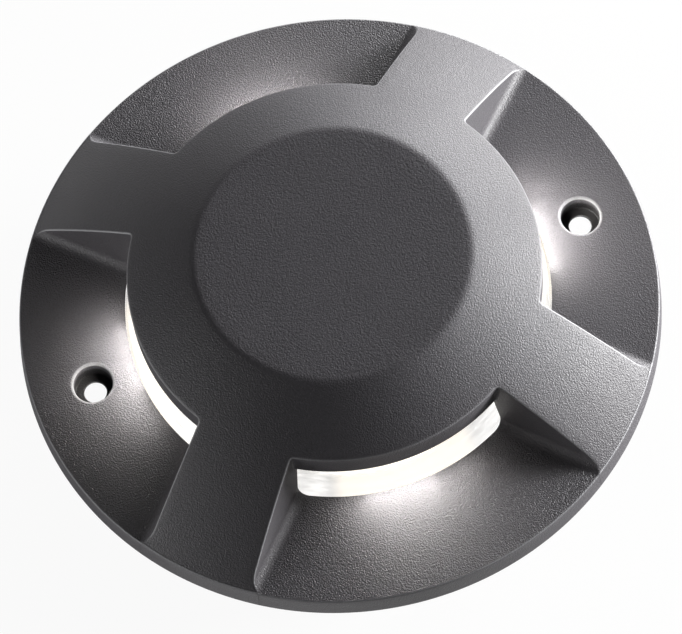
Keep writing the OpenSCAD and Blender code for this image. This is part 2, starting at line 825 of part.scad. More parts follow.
module lamp_body() {
    driver_hole_x = driver_l / 2 + ear_out;
    color(coat) difference() {
        union() {
            body_shell();
            at_arms(lug_r) lug();
            at_arms(post_r) post();
            at_port(gland_angle) port_boss(gland_boss_d);
            at_port(vent_angle) port_boss(vent_boss_d);
            for (s = sides) translate([s * driver_hole_x, -driver_back, 0]) floor_pad(pad_d);
            for (s = sides) translate([s * block_screw_x, terminal_fore, 0]) floor_pad(block_pad_d);
            translate(earth_at) floor_pad(pad_d);
        }
        at_arms(lug_r) translate([0, 0, body_top_z - lug_t - over])
            cylinder(d = cover_screw_d + hole_gap, h = lug_t + 2 * over);
        at_arms(post_r) translate([0, 0, plate_z]) tapped_hole(plate_screw_d, plate_screw_l);
        at_port(gland_angle) port_hole(gland_d + screw_gap);
        at_port(vent_angle) port_hole(vent_d + 2 * thread_gap);
        for (s = sides) translate([s * driver_hole_x, -driver_back, 0]) floor_hole(plate_screw_d);
        for (s = sides) translate([s * block_screw_x, terminal_fore, 0]) floor_hole(board_screw_d);
        translate(earth_at) floor_hole(plate_screw_d);
    }
}

module cover_screws() {
    color(alu) at_arms(lug_r) translate([0, 0, body_top_z - lug_t - washer_t])
        mirror([0, 0, 1]) cap_screw(cover_screw_d, cover_screw_l);
}

module cover_screw_washers() {
    color(alu) at_arms(lug_r) translate([0, 0, body_top_z - lug_t - washer_t])
        ring(cover_screw_d * washer_share / 2, cover_screw_d / 2 + screw_gap / 2, washer_t);
}

// Cable gland: z runs outwards from the boss's face

module gland_body() {
    color("#26282b") at_port(gland_angle) difference() {
        union() {
            translate([0, 0, -gland_tail_l]) cylinder(d = gland_d, h = gland_tail_l + port_seal_t);
            translate([0, 0, port_seal_t]) hex_prism(gland_af, gland_hex_t);
            translate([0, 0, gland_hex_z]) cylinder(d = gland_d, h = gland_neck_z - gland_hex_z);
        }
        translate([0, 0, -gland_tail_l - over])
            cylinder(d = gland_bore_d, h = gland_tail_l + gland_neck_z + 2 * over);
        translate([0, 0, gland_neck_z + insert_flange_t - insert_l])
            cylinder(d = insert_d + 2 * thread_gap, h = insert_l);
    }
}

module gland_flat_seal() {
    color(gasket_black) at_port(gland_angle)
        ring(gland_af / 2, gland_d / 2 + thread_gap, port_seal_t);
}

module gland_locknut() {
    color("#26282b") at_port(gland_angle)
        translate([0, 0, -port_l - locknut_t]) difference() {
            hex_prism(gland_af, locknut_t);
            translate([0, 0, -over]) cylinder(d = gland_d + 2 * thread_gap, h = locknut_t + 2 * over);
        }
}

module gland_insert() {
    color(gasket_black) at_port(gland_angle)
        translate([0, 0, gland_neck_z + insert_flange_t - insert_l]) difference() {
            union() {
                cylinder(d = insert_d, h = insert_l);
                translate([0, 0, insert_l - insert_flange_t])
                    cylinder(d = insert_flange_d, h = insert_flange_t);
            }
            translate([0, 0, -over]) cylinder(d = cable_bore_d, h = insert_l + 2 * over);
        }
}

module gland_slip_ring() {
    color("#d8d4c8") at_port(gland_angle)
        translate([0, 0, gland_neck_z + insert_flange_t + thread_gap])
            ring(insert_flange_d / 2, cap_nut_hole_d / 2, slip_ring_t);
}

module gland_cap_nut() {
    inner_z = gland_neck_z + insert_flange_t + slip_ring_t + 2 * thread_gap;
    skirt_l = cap_nut_l * cap_skirt_share;
    nose_l = cap_nut_l - skirt_l;
    nose_r = gland_af / 2;
    color("#26282b") at_port(gland_angle) difference() {
        union() {
            translate([0, 0, cap_nut_z]) hex_prism(gland_af, skirt_l);
            translate([0, 0, cap_nut_z + skirt_l])
                cylinder(r1 = nose_r, r2 = nose_r * cap_nose_share, h = nose_l);
        }
        translate([0, 0, cap_nut_z - over])
            cylinder(d = gland_d + 2 * thread_gap, h = gland_neck_z - cap_nut_z + 2 * over);
        translate([0, 0, cap_nut_z])
            cylinder(d = insert_flange_d + screw_gap, h = inner_z - cap_nut_z);
        translate([0, 0, cap_nut_z]) cylinder(d = cap_nut_hole_d, h = cap_nut_l + over);
    }
}

// Pressure-equalising vent plug

module vent_plug() {
    color("#2d2f32") at_port(vent_angle) difference() {
        union() {
            translate([0, 0, -port_l]) cylinder(d = vent_d, h = port_l + port_seal_t);
            translate([0, 0, port_seal_t]) cylinder(d = vent_head_d, h = vent_head_t);
        }
        translate([0, 0, -port_l - over]) cylinder(d = vent_bore_d, h = port_l + 2 * over);
        translate([0, 0, port_seal_t - membrane_t]) cylinder(d = membrane_d, h = vent_slot_w + membrane_t);
        for (a = [0, 90]) rotate(a)
            translate([-vent_head_d, -vent_slot_w / 2, port_seal_t])
                cube([2 * vent_head_d, vent_slot_w, vent_slot_w]);
    }
}

module vent_seal() {
    color(gasket_black) at_port(vent_angle)
        ring(vent_head_d / 2, vent_d / 2 + thread_gap, port_seal_t);
}

module vent_membrane() {
    color("#f2f2f0") at_port(vent_angle) translate([0, 0, port_seal_t - membrane_t])
        cylinder(d = membrane_d - 2 * thread_gap, h = membrane_t);
}

cover();
lens();
lens_upper_gasket();
lens_lower_gasket();
reflector();
reflector_screw();
led_board();
led_chips();
led_connector();
led_board_screws();
thermal_pad();
heat_plate();
heat_plate_screws();
wire_grommet();
led_leads();
led_driver();
driver_screws();
mains_leads();
earth_lead();
earth_ring();
earth_screw();
terminal_block();
terminal_screws();
terminal_mount_screws();
lamp_body();
cover_screws();
cover_screw_washers();
gland_body();
gland_flat_seal();
gland_locknut();
gland_insert();
gland_slip_ring();
gland_cap_nut();
vent_plug();
vent_seal();
vent_membrane();
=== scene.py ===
"""Ground light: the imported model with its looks, a pale floor, studio lamps and the photograph's camera."""

import json
import math

import bmesh
import bpy
import numpy as np
from mathutils import Matrix, Vector


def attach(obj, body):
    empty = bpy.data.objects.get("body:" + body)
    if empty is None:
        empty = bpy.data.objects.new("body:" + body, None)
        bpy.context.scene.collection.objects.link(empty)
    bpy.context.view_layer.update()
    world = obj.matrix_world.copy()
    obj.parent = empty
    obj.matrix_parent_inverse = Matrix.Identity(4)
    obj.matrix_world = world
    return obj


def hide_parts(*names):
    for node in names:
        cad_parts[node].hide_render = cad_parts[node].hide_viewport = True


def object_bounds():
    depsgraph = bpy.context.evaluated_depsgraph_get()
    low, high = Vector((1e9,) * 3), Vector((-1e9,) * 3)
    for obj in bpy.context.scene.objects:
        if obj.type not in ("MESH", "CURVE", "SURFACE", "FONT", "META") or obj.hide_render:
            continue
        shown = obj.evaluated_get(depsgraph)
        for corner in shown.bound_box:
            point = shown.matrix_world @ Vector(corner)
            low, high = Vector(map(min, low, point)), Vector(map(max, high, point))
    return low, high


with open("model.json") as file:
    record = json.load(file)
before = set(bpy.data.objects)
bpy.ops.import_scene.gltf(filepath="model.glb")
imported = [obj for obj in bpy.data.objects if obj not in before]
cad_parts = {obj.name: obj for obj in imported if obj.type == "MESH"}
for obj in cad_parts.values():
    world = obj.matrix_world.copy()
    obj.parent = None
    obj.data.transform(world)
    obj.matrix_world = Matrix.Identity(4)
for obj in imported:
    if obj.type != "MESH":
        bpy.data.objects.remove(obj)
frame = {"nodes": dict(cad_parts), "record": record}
cad_box = [list(corner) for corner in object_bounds()]
MM = 0.001

# Camera

# The view fitted to the photograph: angles, distance in metres, pixels to a millimetre at that distance, the
# picture's size and the pixel where the light's origin falls.
VIEW_YAW, VIEW_TILT, VIEW_ROLL = math.radians(12.74), math.radians(65.4), math.radians(7.34)
VIEW_DISTANCE = 1077 * MM
VIEW_SCALE = 3.57
PICTURE_W, PICTURE_H = 682, 634
MIDDLE_U, MIDDLE_V = 339.54, 310.53
SENSOR_MM = 36
NEAREST, FARTHEST = 0.02, 20


def stand(name, data):
    """A new object of the data, in the scene, at the origin."""
    made = bpy.data.objects.new(name, data)
    bpy.context.scene.collection.objects.link(made)
    return made


# level runs to the picture's right before the roll, and towards runs from the light's axis to the camera
level = Vector((math.cos(VIEW_YAW), -math.sin(VIEW_YAW), 0))
towards = Vector((-math.sin(VIEW_YAW) * math.cos(VIEW_TILT), -math.cos(VIEW_YAW) * math.cos(VIEW_TILT),
                  math.sin(VIEW_TILT)))
upright = towards.cross(level)
across_picture = level * math.cos(VIEW_ROLL) - upright * math.sin(VIEW_ROLL)
up_picture = level * math.sin(VIEW_ROLL) + upright * math.cos(VIEW_ROLL)
camera = stand("camera", bpy.data.cameras.new("camera"))
camera.matrix_world = Matrix((
    (across_picture.x, up_picture.x, towards.x, towards.x * VIEW_DISTANCE),
    (across_picture.y, up_picture.y, towards.y, towards.y * VIEW_DISTANCE),
    (across_picture.z, up_picture.z, towards.z, towards.z * VIEW_DISTANCE),
    (0, 0, 0, 1)))
camera.data.sensor_fit = "HORIZONTAL"
camera.data.sensor_width = SENSOR_MM
camera.data.lens = VIEW_SCALE * VIEW_DISTANCE / MM * SENSOR_MM / PICTURE_W
camera.data.shift_x = (PICTURE_W / 2 - MIDDLE_U) / PICTURE_W
camera.data.shift_y = -(PICTURE_H / 2 - MIDDLE_V) / PICTURE_W
camera.data.clip_start, camera.data.clip_end = NEAREST, FARTHEST
bpy.context.scene.camera = camera
bpy.context.scene.view_settings.view_transform = "Standard"

# Materials


def colour(code):
    """Linear red, green, blue and alpha of an sRGB hex code: c / 12.92 up to 0.04045, and above it
    ((c + 0.055) / 1.055) ^ 2.4."""
    parts = [int(code[i:i + 2], 16) / 255 for i in (1, 3, 5)]
    return [c / 12.92 if c <= 0.04045 else ((c + 0.055) / 1.055) ** 2.4 for c in parts] + [1]


def add(tree, kind, inputs=(), **settings):
    """Adds a node, sets its properties, and for each (socket, value) pair links a socket or sets a value."""
    made = tree.nodes.new(kind)
    for name, value in settings.items():
        setattr(made, name, value)
    for name, value in inputs:
        if isinstance(value, bpy.types.NodeSocket):
            tree.links.new(value, made.inputs[name])
        else:
            made.inputs[name].default_value = value
    return made


def finish(name, **constants):
    """A new material, its tree, its principled shader with plain values set on its own sockets, and object
    coordinates."""
    made = bpy.data.materials.new(name)
    made.use_nodes = True
    tree = made.node_tree
    shader = next(n for n in tree.nodes if n.type == "BSDF_PRINCIPLED")
    for socket, value in constants.items():
        shader.inputs[socket.replace("_", " ")].default_value = value
    place = add(tree, "ShaderNodeTexCoord").outputs["Object"]
    return made, tree, shader, place


def size(mm):
    """Scale of a pattern on object coordinates, in metres, whose features are this many millimetres wide."""
    return 1 / (mm * MM)


def wave_size(mm):
    """Scale of a wave pattern, sin(20 x scale x place), for waves 2 pi times this many millimetres long."""
    return size(mm) / 20


def blend(tree, share, dark, light):
    """A colour between two, each a hex code or a socket, as the share goes from 0 to 1."""
    ends = [(6 + i, colour(end) if isinstance(end, str) else end) for i, end in enumerate((dark, light))]
    return add(tree, "ShaderNodeMix", [(0, share)] + ends, data_type="RGBA").outputs[2]


def spread(tree, value, low, high, from_low=0.3, from_high=0.7):
    """Maps a pattern's middle range onto another range, clamped."""
    ranges = [(0, value), (1, from_low), (2, from_high), (3, low), (4, high)]
    return add(tree, "ShaderNodeMapRange", ranges).outputs[0]


def noise(tree, place, mm, detail=2.0, **settings):
    """A noise pattern whose features are this many millimetres wide."""
    inputs = [("Vector", place), ("Scale", size(mm)), ("Detail", detail), *settings.items()]
    return add(tree, "ShaderNodeTexNoise", inputs).outputs[0]


def surface(tree, shader, height, depth, strength, edge_mm=0.25):
    """Bumps the surface by a height pattern, depth metres or a socket, over edges shaded as if rounded."""
    inputs = [("Strength", strength), ("Distance", depth), ("Height", height)]
    if edge_mm:
        edge = add(tree, "ShaderNodeBevel", [("Radius", edge_mm * MM)], samples=4)
        inputs.append(("Normal", edge.outputs[0]))
    tree.links.new(add(tree, "ShaderNodeBump", inputs).outputs[0], shader.inputs["Normal"])


FINE_GRAIN_H, COARSE_GRAIN_H = 0.175 * MM, 0.36 * MM
FLAT_FACING = 0.57, 0.75


def powder_coat(name, edge_mm):
    """Fine textured polyester powder coat, sprayed and baked on a casting: a sandy grain of about half a
    millimetre that breaks highlights into specks, coarser on the floors of three pockets where more powder
    lies, a pale painted highlight along convex edges, and painted shade, near black, deep in the fixing
    holes. Seen at a flat angle the grains hide each other and the gloss is lost, as 1 - cos(angle off the
    normal) goes from 0.57 to 0.75, which is 65 to 76 degrees."""
    made, tree, shader, place = finish(name, IOR=1.5)
    grain = noise(tree, place, 0.42, 1.5, Roughness=0.6)
    cloud = noise(tree, place, 18)
    # The first two attributes are painted light: a pale highlight on convex edges, and shade, near black, in
    # the fixing holes.
    thin, painted_bore_shade, pocket = (add(tree, "ShaderNodeAttribute", attribute_name=name).outputs["Fac"]
                          for name in ("edge_painted_highlight", "bore_painted_shade", "pocket"))
    tone = blend(tree, spread(tree, grain, 0, 1), "#464447", "#525054")
    tone = blend(tree, painted_bore_shade, blend(tree, thin, tone, "#a6a6a9"), "#1e1d1e")
    tree.links.new(tone, shader.inputs["Base Color"])
    flat = add(tree, "ShaderNodeLayerWeight", [("Blend", 0.5)]).outputs["Facing"]
    gloss_lost, rough = spread(tree, flat, 0, 1, *FLAT_FACING), spread(tree, cloud, 0.43, 0.48)
    rough = add(tree, "ShaderNodeMix", [(0, gloss_lost), (2, rough), (3, 0.95)]).outputs[0]
    tree.links.new(rough, shader.inputs["Roughness"])
    surface(tree, shader, grain, spread(tree, pocket, FINE_GRAIN_H, COARSE_GRAIN_H, 0, 1), 1.0, edge_mm)
    return made


def moulded(name, dark, light, rough, grain_mm, depth_mm, **constants):
    """Moulded plastic or rubber: two near tones in soft clouds, and an even grain from the mould's skin."""
    made, tree, shader, place = finish(name, **constants)
    cloud, grain = noise(tree, place, 9), noise(tree, place, grain_mm)
    tree.links.new(blend(tree, spread(tree, cloud, 0, 1), dark, light), shader.inputs["Base Color"])
    tree.links.new(spread(tree, grain, rough - 0.05, rough + 0.05), shader.inputs["Roughness"])
    surface(tree, shader, grain, depth_mm * MM, 0.35)
    return made


def machined(name, dark, light, rough, line_mm, ringed=True):
    """Bare metal from a lathe or mill: fine tool marks, as rings round the light's axis or as straight
    lines, that vary the roughness and stretch the highlight."""
    made, tree, shader, place = finish(name, Metallic=1.0)
    shape = {"wave_type": "RINGS", "rings_direction": "Z"} if ringed else {"wave_type": "BANDS"}
    inputs = [("Vector", place), ("Scale", wave_size(line_mm)), ("Distortion", 1.2), ("Detail", 2.0),
              ("Detail Scale", 3.0)]
    line = add(tree, "ShaderNodeTexWave", inputs, **shape).outputs[1]
    cloud = noise(tree, place, 5, 3.0)
    tree.links.new(blend(tree, spread(tree, cloud, 0, 1), dark, light), shader.inputs["Base Color"])
    tree.links.new(spread(tree, line, rough - 0.06, rough + 0.08, 0, 1), shader.inputs["Roughness"])
    surface(tree, shader, line, 0.01 * MM, 0.2)
    return made


def glowing_glass():
    """Pressed clear glass lit from behind: it glows warm white over the middle of each window, where the
    chips stand, and turns paler towards the window's ends, where long press streaks show. The streaks are a
    noise on (16 mm x azimuth, height), so they run round the glass."""
    made, tree, shader, place = finish("pressed_glass", Base_Color=colour("#f6f8f8"), IOR=1.5,
                                       Transmission_Weight=1.0)
    x, y, z = add(tree, "ShaderNodeSeparateXYZ", [(0, place)]).outputs
    turn = add(tree, "ShaderNodeMath", [(0, y), (1, x)], operation="ARCTAN2").outputs[0]
    off_middle = add(tree, "ShaderNodeMath", [(0, turn), (1, math.pi / 4)], operation="PINGPONG").outputs[0]
    along = add(tree, "ShaderNodeMath", [(0, turn), (1, 16 * MM)], operation="MULTIPLY").outputs[0]
    stretched = add(tree, "ShaderNodeCombineXYZ", [(0, along), (1, z)]).outputs[0]
    streak = noise(tree, stretched, 2.6, Distortion=0.8)
    near_end = spread(tree, off_middle, 0, 1, math.radians(17.5), math.radians(21.5))
    ends = spread(tree, streak, 0.24, 0.48, 0.35, 0.65)
    glow = add(tree, "ShaderNodeMix", [(0, near_end), (2, 0.475), (3, ends)]).outputs[0]
    tree.links.new(glow, shader.inputs["Emission Strength"])
    tree.links.new(blend(tree, near_end, "#fff6e9", "#fdfaf7"), shader.inputs["Emission Color"])
    tree.links.new(spread(tree, streak, 0.04, 0.12), shader.inputs["Roughness"])
    bump = add(tree, "ShaderNodeBump", [("Strength", 0.25), ("Distance", 0.3 * MM), ("Height", streak)])
    tree.links.new(bump.outputs[0], shader.inputs["Normal"])
    return made


def phosphor():
    """Cast silicone with yellow phosphor grains: a soft speckled yellow that glows a little."""
    made, tree, shader, place = finish("silicone_phosphor", Emission_Color=colour("#fff0cc"),
                                       Emission_Strength=1.2, Roughness=0.35)
    grain = noise(tree, place, 0.25)
    tree.links.new(blend(tree, spread(tree, grain, 0, 1), "#e6c23c", "#f6e08a"), shader.inputs["Base Color"])
    return made


def striped_insulation():
    """Extruded insulation of an earth wire: glossy green with broad slanting yellow stripes."""
    made, tree, shader, place = finish("earth_insulation", Roughness=0.32)
    inputs = [("Vector", place), ("Scale", wave_size(2.2)), ("Distortion", 0.4)]
    stripe = add(tree, "ShaderNodeTexWave", inputs, bands_direction="DIAGONAL").outputs[1]
    stripe = spread(tree, stripe, 0, 1, 0.42, 0.58)
    tree.links.new(blend(tree, stripe, "#2f8f3a", "#e8d53a"), shader.inputs["Base Color"])
    return made


FINISHES = {
    "coated_casting": powder_coat("powder_coat", 0),
    "clear_glass": glowing_glass(),
    "seal_rubber": moulded("silicone_rubber", "#1c1c1c", "#262626", 0.62, 0.4, 0.03),
    "bright_reflector": machined("polished_aluminium", "#d4d6d9", "#e3e4e6", 0.12, 0.8),
    "white_board": moulded("solder_mask", "#e4e5e0", "#efefec", 0.28, 0.6, 0.01),
    "led_phosphor": phosphor(),
    "white_plastic": moulded("moulded_nylon", "#dcdbd2", "#e8e7e0", 0.42, 0.35, 0.015),
    "thermal_grey": moulded("silicone_pad", "#7b828a", "#8a9199", 0.8, 0.5, 0.03),
    "plain_aluminium": machined("milled_aluminium", "#b9bbbe", "#c8cacc", 0.34, 0.5),
    "screw_steel": machined("stainless_steel", "#a8a8a6", "#b9b9b7", 0.3, 0.3, ringed=False),
    "driver_case": moulded("potted_case", "#202226", "#282b2f", 0.5, 0.45, 0.02),
    "lead_insulation": moulded("wire_insulation", "#86281f", "#98332a", 0.34, 0.8, 0.01),
    "earth_insulation": striped_insulation(),
    "tinned_copper": machined("tinned_copper", "#b4b3ad", "#c6c5c0", 0.3, 0.4),
    "brass": machined("turned_brass", "#b8963f", "#cfae58", 0.28, 0.3),
    "gland_plastic": moulded("black_polyamide", "#1d1e20", "#27282b", 0.44, 0.35, 0.02),
    "slip_plastic": moulded("natural_acetal", "#d8d4c6", "#e3dfd3", 0.36, 0.5, 0.01),
    "membrane": moulded("vent_membrane", "#e6e6e2", "#f4f4f1", 0.85, 0.3, 0.05),
}

slot_of = {part["node"]: part["material_slot"] for part in frame["record"]["subparts"]}
body_coat = powder_coat("powder_coat_on_body", 0.6)
for node, piece in frame["nodes"].items():
    for slot in piece.material_slots:
        slot.material = body_coat if node == "lamp_body" else FINISHES[slot_of[node]]

# Surfaces


def polar(p):
    """Radius and azimuth of points."""
    return np.hypot(p[..., 0], p[..., 1]), np.arctan2(p[..., 1], p[..., 0])


def xyz(r, turn, z):
    """Points at radius r, azimuth turn and height z: (r cos turn, r sin turn, z)."""
    r, turn, z = np.broadcast_arrays(r, turn, z)
    return np.stack([r * np.cos(turn), r * np.sin(turn), z], -1)


WELD_MM = 2e-4


def weld(grids):
    """Joins grids of points in millimetres into one set of vertices, in metres, and their faces. Points
    within WELD_MM become one, which leaves a triangle or nothing of some quads."""
    points, quads, count = [], [], 0
    for grid in grids:
        rows, columns = grid.shape[:2]
        number = np.arange(rows * columns).reshape(rows, columns) + count
        corners = [number[:-1, :-1], number[:-1, 1:], number[1:, 1:], number[1:, :-1]]
        quads.append(np.stack(corners, -1).reshape(-1, 4))
        points.append(grid.reshape(-1, 3))
        count += rows * columns
    points = np.concatenate(points)
    _, first, same = np.unique(np.round(points / WELD_MM).astype(np.int64), axis=0, return_index=True,
                               return_inverse=True)
    quads = same.reshape(-1)[np.concatenate(quads)]
    doubled = (quads == np.roll(quads, -1, 1)).sum(1)
    thin = quads[doubled == 1]
    triangles = thin[thin != np.roll(thin, -1, 1)].reshape(-1, 3)
    return (points[first] * MM).tolist(), quads[doubled == 0].tolist() + triangles.tolist()


def mesh_of(name, grids):
    """A new mesh of welded grids."""
    mesh = bpy.data.meshes.new(name)
    points, faces = weld(grids)
    mesh.from_pydata(points, [], faces)
    return mesh


def mark(mesh, name, share):
    """Stores a share from 0 to 1 on each vertex, for a material to read."""
    mesh.attributes.new(name, "FLOAT", "POINT").data.foreach_set("value", share.astype(np.float32))


# The convex-edge angles, in degrees, over which the painted highlight goes from none to full.
HIGHLIGHT_FROM, HIGHLIGHT_TO = 13, 25
LOOKS_DOWN = -0.05


def paint_edge_highlights(mesh):
    """Marks where a pale highlight is painted: on each vertex how far the largest angle of its convex edges
    goes between the two limits above, in degrees. An edge is convex where the next face's middle lies below
    this face's plane. Edges of faces whose normal's z is below LOOKS_DOWN look down and get no painted
    highlight."""
    loops, faces = len(mesh.loops), len(mesh.polygons)
    edge_of = np.empty(loops, np.int64)
    mesh.loops.foreach_get("edge_index", edge_of)
    total = np.empty(faces, np.int64)
    mesh.polygons.foreach_get("loop_total", total)
    normal, middle = np.empty(faces * 3), np.empty(faces * 3)
    mesh.polygons.foreach_get("normal", normal)
    mesh.polygons.foreach_get("center", middle)
    normal, middle = normal.reshape(-1, 3), middle.reshape(-1, 3)
    ends = np.empty(len(mesh.edges) * 2, np.int64)
    mesh.edges.foreach_get("vertices", ends)
    pair = np.repeat(np.arange(faces), total)[np.argsort(edge_of, kind="stable")].reshape(-1, 2)
    a, b = pair[:, 0], pair[:, 1]
    angle = np.degrees(np.arccos(np.clip((normal[a] * normal[b]).sum(1), -1, 1)))
    angle[((middle[b] - middle[a]) * normal[a]).sum(1) > 0] = 0
    angle[np.minimum(normal[a][:, 2], normal[b][:, 2]) < LOOKS_DOWN] = 0
    share = np.zeros(len(mesh.vertices))
    np.maximum.at(share, ends, np.repeat(np.clip((angle - HIGHLIGHT_FROM) / (HIGHLIGHT_TO - HIGHLIGHT_FROM), 0, 1), 2))
    mark(mesh, "edge_painted_highlight", share)


def build(name, grids, node, body="housing", sharp=32):
    """Welds grids into a closed mesh that stands for a CAD node. Its faces point outwards, which its
    volume's sign shows, and edges beyond the angle sharp, in degrees, stay hard."""
    mesh = mesh_of(name, grids)
    work = bmesh.new()
    work.from_mesh(mesh)
    bmesh.ops.recalc_face_normals(work, faces=work.faces)
    if work.calc_volume(signed=True) < 0:
        bmesh.ops.reverse_faces(work, faces=work.faces)
    work.to_mesh(mesh)
    work.free()
    paint_edge_highlights(mesh)
    mesh.shade_smooth()
    mesh.set_sharp_from_angle(angle=math.radians(sharp))
    mesh.materials.append(FINISHES[slot_of[node]])
    made = stand(name, mesh)
    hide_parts(node)
    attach(made, body)
    return made


# Cover

# Millimetres. _R is a radius, _H and _Z are heights over the underside, _T is a thickness.
RIM_TOP_R, RIM_H, FOOT_R = 88.8, 7.0, 89.75
DISC_R, DOME_H, BOW_R, SKIN_T = 38.0, 38.0, 250.0, 4.5
CAP_R, WINDOW_TOP, SILL_H = 57.0, 20.7, 8.5
ARM_HALF_W, ARM_LEAN, FILLET_R = 13.6, math.radians(5.3), 3.5
LENS_LEAN, LENS_LIP_R, LENS_GAP = math.tan(math.radians(16.5)), 55.4, 0.4
LEDGE_Z, RECESS_R, RELIEF_H, LAND_R = 5.6, 63.91, 0.6, 78.0
HOLE_R, BORE_R, HOLE_RIM_R, LIP_H, HOLE_AT, WEB_Z = 3.2, 5.5, 6.4, 0.8, 72.0, 1.6
# BORE_TOP_Z is the counterbore's top. Below it the holes get painted shade, down to the second height.
BORE_TOP_Z, PAINTED_SHADE_FROM_Z = 5.6, 0.9
FLOOR_EDGE_Z = 6.75
EDGE, CORNER, DISC_SOFT, CORNER_FADE_H = 0.5, 1.0, 1.2, 3.0
RIM_CORNER_R, RIM_WALL_R, RIM_WALL_Z = 89.26, 89.33, 6.2
ARM_AT = math.pi / 4
# steps of the grids over half an arm's top, its edge, its wall above and below the split, its fillet, a
# pocket's floor and the cap between two arms
N_HALF, N_EDGE, N_UP, N_LOW, N_ARC, N_FLOOR, N_CAP = 6, 4, 4, 4, 8, 48, 56

# columns over half an arm, the radii of the rows outwards, the rows where the cap's and the arm's edges
# start, the rows of the blocks round a fixing hole on the floor and the underside, and the rings of the cap
ARM_COLUMNS = N_HALF + N_EDGE + N_UP + N_LOW + N_ARC + 1
BEND = np.linspace(0, math.pi / 2, 5)
CONE_LIP_R = LENS_LIP_R + LENS_GAP
NEAR_R = np.concatenate([[CONE_LIP_R, (CONE_LIP_R + CAP_R) / 2], CAP_R + CORNER * (1 - np.cos(BEND)),
                         [59.3, 60.6, 62.0]])
FAR_R = np.concatenate([np.linspace(63.0, 81.0, 13), [82.5, 84.0, 85.3, 86.5, 87.4, 88.1, 88.5, RIM_TOP_R]])
ROWS_R = np.concatenate([NEAR_R, FAR_R])
CAP_ROW, ARM_ROW = 2, 6
HOLE_ROWS, LOW_HOLE_ROWS = (len(NEAR_R), len(NEAR_R) + 12), (5, 17)
CAP_RINGS_R = [54, 52, 48, 44.5, 41.5, 39.2, 38.6, 38, 37.4, 36.8, 34, 28, 20, 12, 5, 0]

# the bow's centre (radius, height), from its chord between the disc's edge and the rim
chord = math.hypot(RIM_TOP_R - DISC_R, DOME_H - RIM_H)
sagitta_side = math.sqrt(BOW_R ** 2 - (chord / 2) ** 2)
BOW_C = ((DISC_R + RIM_TOP_R) / 2 - sagitta_side * (DOME_H - RIM_H) / chord,
         (DOME_H + RIM_H) / 2 - sagitta_side * (RIM_TOP_R - DISC_R) / chord)


def bow_z(r, inset=0.0):
    """Height of the dome's bow, an arc of radius BOW_R about BOW_C, or of its inner skin."""
    return BOW_C[1] + np.sqrt((BOW_R - inset) ** 2 - (r - BOW_C[0]) ** 2)


def dome_z(r):
    """Height of the cover's top: the flat disc, a parabola that softens its edge, then the bow."""
    a, b = DISC_R - DISC_SOFT, DISC_R + DISC_SOFT
    soft = DOME_H - (DOME_H - bow_z(b)) * ((r - a) / (b - a)) ** 2
    return np.where(r < a, DOME_H, np.where(r < b, soft, bow_z(np.clip(r, b, RIM_TOP_R))))


def lens_r(z):
    """Radius of the glass's leaning outer wall."""
    return LENS_LIP_R + (WINDOW_TOP - z) * LENS_LEAN


SILL_R = lens_r(SILL_H) + LENS_GAP
FLOOR_FALL = (SILL_H - FLOOR_EDGE_Z) / (RIM_TOP_R - SILL_R)


def floor_z(r):
    """Height of a pocket's floor, which falls outwards."""
    return FLOOR_EDGE_Z + (RIM_TOP_R - r) * FLOOR_FALL


# the split's share of an arm's height, and the fillet's length and how far it reaches beyond the wall's foot
CAP_EDGE_Z = float(bow_z(CAP_R))
SPLIT = (WINDOW_TOP - floor_z(CAP_R)) / (CAP_EDGE_Z - floor_z(CAP_R))
ARC = FILLET_R * (math.pi / 2 - ARM_LEAN)
REACH = FILLET_R * (1 - math.sin(ARM_LEAN)) / math.cos(ARM_LEAN)


def side(r, q):
    """Distance from the arm's middle plane and height, at length q along the arm's side from the pocket's
    floor: an arc of the fillet's radius, then a straight wall that leans towards the arm."""
    base = floor_z(r)
    bend = np.minimum(q, ARC) / FILLET_R
    up = np.maximum(q - ARC, 0)
    foot = ARM_HALF_W + math.tan(ARM_LEAN) * (CAP_EDGE_Z - base) + REACH
    return (foot - FILLET_R * np.sin(bend) - up * math.sin(ARM_LEAN),
            base + FILLET_R - FILLET_R * np.cos(bend) + up * math.cos(ARM_LEAN))


def side_q(r, z):
    """Length along the arm's side at which it has height z: the inverse of side."""
    arc_z = floor_z(r) + FILLET_R
    end_z = arc_z - FILLET_R * math.sin(ARM_LEAN)
    on_arc = FILLET_R * np.arccos(np.clip((arc_z - z) / FILLET_R, -1, 1))
    return np.where(z > end_z, ARC + (z - end_z) / math.cos(ARM_LEAN), on_arc)


def split_z(r):
    """Height that parts an arm's side in two grids: the window's top, falling along the arm."""
    return np.where(r > CAP_R, floor_z(r) + (dome_z(r) - floor_z(r)) * SPLIT, WINDOW_TOP)


def beside_arm(r, w):
    """Azimuth at radius r and distance w from the middle plane of the arm before the window."""
    return -ARM_AT + np.arcsin(w / r)


def mirrored(grid):
    """The grid on the window's other side."""
    return grid * np.array([1, -1, 1])


def across(line, steps):
    """A line of points swung about the light's axis from its own azimuths to the mirrored ones."""
    r, turn = polar(line)
    return xyz(r[:, None], turn[:, None] * np.linspace(1, -1, steps + 1), line[:, 2][:, None])


def loop_round(grid, j0, j1, i0, i1):
    """The points round a block of a grid, in order."""
    return np.concatenate([grid[j0, i0:i1], grid[j0:j1, i1], grid[j1, i1:i0:-1], grid[j1:j0:-1, i0]])


def without_block(grid, j0, j1, i0, i1):
    """The four parts of a grid round a block."""
    return [grid[:j0 + 1], grid[j1:], grid[j0:j1 + 1, :i0 + 1], grid[j0:j1 + 1, i1:]]


def round_hole(turn, r, z):
    """A circle of radius r round the fixing hole, at height z, or -z below the sloping floor if z <= 0."""
    p = np.stack([HOLE_AT + r * np.cos(turn), r * np.sin(turn), 0 * turn], -1)
    p[:, 2] = floor_z(polar(p)[0]) + z if z <= 0 else z
    return p


def quarter_bend(t):
    """Weights of a curve through a start, a corner and an end: (1-t)^2, 2t(1-t), t^2."""
    return (1 - t) ** 2, 2 * t * (1 - t), t ** 2


